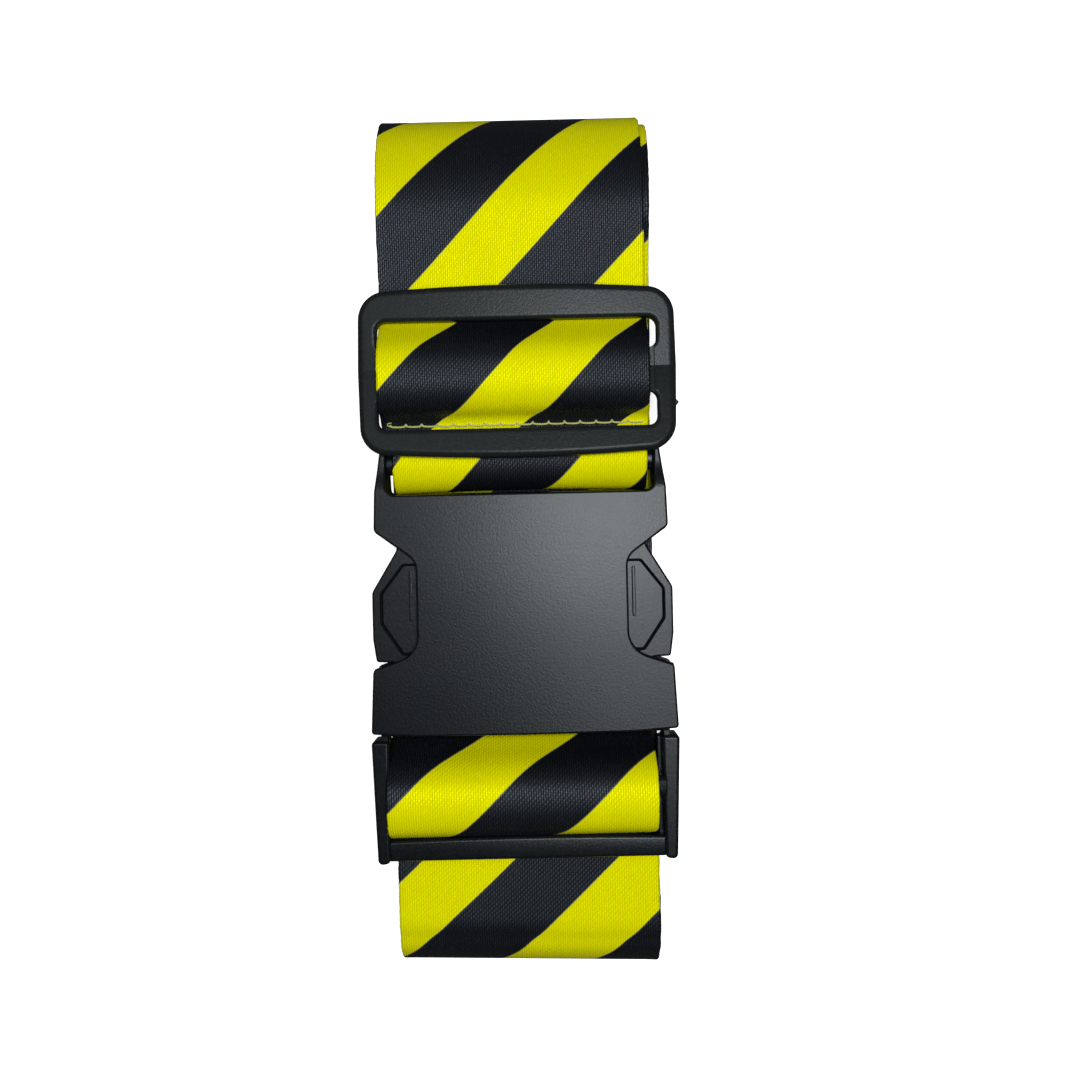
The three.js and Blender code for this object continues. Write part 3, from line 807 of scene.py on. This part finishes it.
def plug():
    """The half with the rails: base, guide tongue, middle bar and arched cross bar."""
    rail = [(25.3, -35.95, 0.7), (25.5, -58.6, 0.9), (27.8, -58.9, 0.9), (28.6, -35.9, 0.7)]
    profile = edge_profile(PLUG_LOW, PLUG_HIGH, 0.4, 0.55, 0.1)
    parts = [moulded("rail", rounded(points), profile) for points in (rail, mirrored(rail))]
    foot = [(25.7, -36.6), (BASE_HALF, -36.6), (BASE_HALF, -34.0), (25.7, -34.0)]
    foot_profile = edge_profile(PLUG_LOW, INSIDE_HIGH - 0.2, 0.1, 0.1, 0.05, 2)
    parts += [moulded("foot", rounded(points), foot_profile)
              for points in (foot, mirrored(foot))]
    parts.append(moulded("base", rectangle(-BASE_HALF, BASE_HALF, *BASE_Y, 0.45),
                         edge_profile(INSIDE_LOW, INSIDE_HIGH, 0.3, 0.3, 0.1, 3)))
    tongue = [(-9, -31.6), (9, -31.6), (9, -4, 3), (6.5, 3.5, 2), (-6.5, 3.5, 2), (-9, -4, 3)]
    parts.append(moulded("tongue", rounded(tongue), edge_profile(13.2, 16.5, 0.5, 0.5)))
    cross = bar("cross_bar", -26, 26, -58.5, -54.6, PLUG_LOW, 18.2, 0.7)
    creased(cross, *(((x, 0, 0), (1, 0, 0)) for x in range(-24, 25, 3)))
    moved_points(cross, lambda x, y, z: (x, y + 0.35 * (1 - (x / 26) ** 2) * (y > -56), z))
    ledges = (rectangle(24.6, 26.0, -55, -36.4, 0.3), rectangle(-26.0, -24.6, -53.1, -41.5, 0.3))
    parts += [moulded("ledge", points, edge_profile(PLUG_LOW + 0.2, 16.0, 0.2, 0.25, 0.05, 2))
              for points in ledges]
    parts += [cross, bar("middle_bar", -26, 26, -47.2, -43.2, 16.4, 20.2, 1.2)]
    whole = combined(parts[0], parts[1:])
    px, py = PIVOT
    for sign in (-1, 1):
        door = [*map(tuple, arc(px, py, PIVOT_RADIUS + 0.3, 180, 360)), (px + 1.8, BASE_Y[1] + 1),
                (px - 3, BASE_Y[1] + 1)]
        door = door if sign > 0 else mirrored(door)
        upright = [(INSIDE_LOW - 1, 0), (INSIDE_HIGH + 1, 0)]
        whole = combined(whole, [moulded("doorway", np.array(door), upright)], "DIFFERENCE")
    place(whole, MATERIALS["buckle"], "buckle_plastic", "plug")
    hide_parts("buckle_plug")


def release_arm(side, name):
    """A springy arm with its button: a raised rim round a sunk field, and a thin rib."""
    def handed(points):
        return points if side > 0 else mirrored(points)

    x, y = PIVOT
    outline = [*map(tuple, arc(x, y, PIVOT_RADIUS, 180, 360)), (23.8, -25, 1), (24, -21.4, 0.5),
               (27.4, -21.3, 0.6), (28, -17, 6), (28, -8.3, 2), (23.5, -0.9, 3), (22, 2.6, 1),
               (19.2, 2.6, 1), (19.2, -19, 1.5), (21, -22, 1.5)]
    arm = moulded(name, rounded(handed(outline), 5),
                  edge_profile(INSIDE_LOW, INSIDE_HIGH, 0.35, 0.35, 0.1))
    recess = rounded(handed([(18, -3.2), (22.2, -3.2, 0.8), (26.4, -8.6, 1.4), (26.4, -14.2, 1.4),
                             (22.5, -20, 0.8), (18, -20)]))
    wide = 0.35
    sunk = [(INSIDE_HIGH - RECESS_DEPTH, wide + 0.3), (INSIDE_HIGH - RECESS_DEPTH, wide),
            (INSIDE_HIGH - RECESS_DEPTH + 0.15, wide * 0.6), (INSIDE_HIGH - 0.25, 0.08),
            (INSIDE_HIGH, -0.18), (INSIDE_HIGH + 1, -0.18)]
    middle = (INSIDE_LOW + INSIDE_HIGH) / 2
    flipped = [(2 * middle - z, i) for z, i in sunk][::-1]
    rib = rounded(handed([(20.5, -13.8, 0.25), (21.1, -13.8, 0.25), (21.1, -4.4, 0.25),
                          (20.5, -4.4, 0.25)]))
    rib_profile = edge_profile(INSIDE_HIGH - RECESS_DEPTH - 0.2, INSIDE_HIGH - 0.4, 0.05, 0.12, 0.05, 2)
    arm = combined(arm, [moulded("recess_top", recess, sunk), moulded("recess_low", recess, flipped)],
                   "DIFFERENCE")
    arm = combined(arm, [moulded("rib", rib, rib_profile)])
    place(arm, MATERIALS["buckle"], "buckle_plastic", name.replace("button_", "arm_"))
    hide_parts(name.replace("button_", "release_arm_"))


# ---- stage ----------------------------------------------------------------------------------

def stage():
    """A plain white floor, soft lights near the camera's line and weak light all round."""
    size = 3000
    floor = new_object("floor", [(-size, -size, 0), (size, -size, 0), (size, size, 0), (-size, size, 0)],
                       [(0, 1, 2, 3)])
    floor.visible_diffuse = floor.visible_glossy = False
    place(floor, floor_material())
    for name, where, size, watts in LIGHTS:
        light = bpy.data.lights.new(name, "AREA")
        light.shape, light.size, light.energy = "DISK", size, watts
        made = bpy.data.objects.new(name, light)
        made.location = where
        made.rotation_euler = (Vector((0, 0, 0.01)) - Vector(where)).to_track_quat("-Z", "Y").to_euler()
        bpy.context.scene.collection.objects.link(made)
    world = bpy.data.worlds.new("studio")
    world.use_nodes = True
    world.node_tree.nodes["Background"].inputs["Color"].default_value = rgb(1, 1, 1)
    world.node_tree.nodes["Background"].inputs["Strength"].default_value = WORLD
    bpy.context.scene.world = world
    bpy.context.scene.view_settings.view_transform = "Standard"


def camera():
    """Straight down from 24 cm, turned a little, as the photograph was taken."""
    lens = bpy.data.cameras.new("camera")
    lens.lens, lens.sensor_width, lens.clip_start = CAMERA_LENS, 36.0, 0.01
    made = bpy.data.objects.new("camera", lens)
    made.location = CAMERA_PLACE
    made.rotation_euler = (0.0, 0.0, CAMERA_TURN)
    bpy.context.scene.collection.objects.link(made)
    bpy.context.scene.camera = made


camera()
stage()
inner_roll()
outer_run()
slider_hump()
socket_loop()
plug_webbing()
seam()
slider()
socket()
plug()
release_arm(-1, "button_left")
release_arm(1, "button_right")
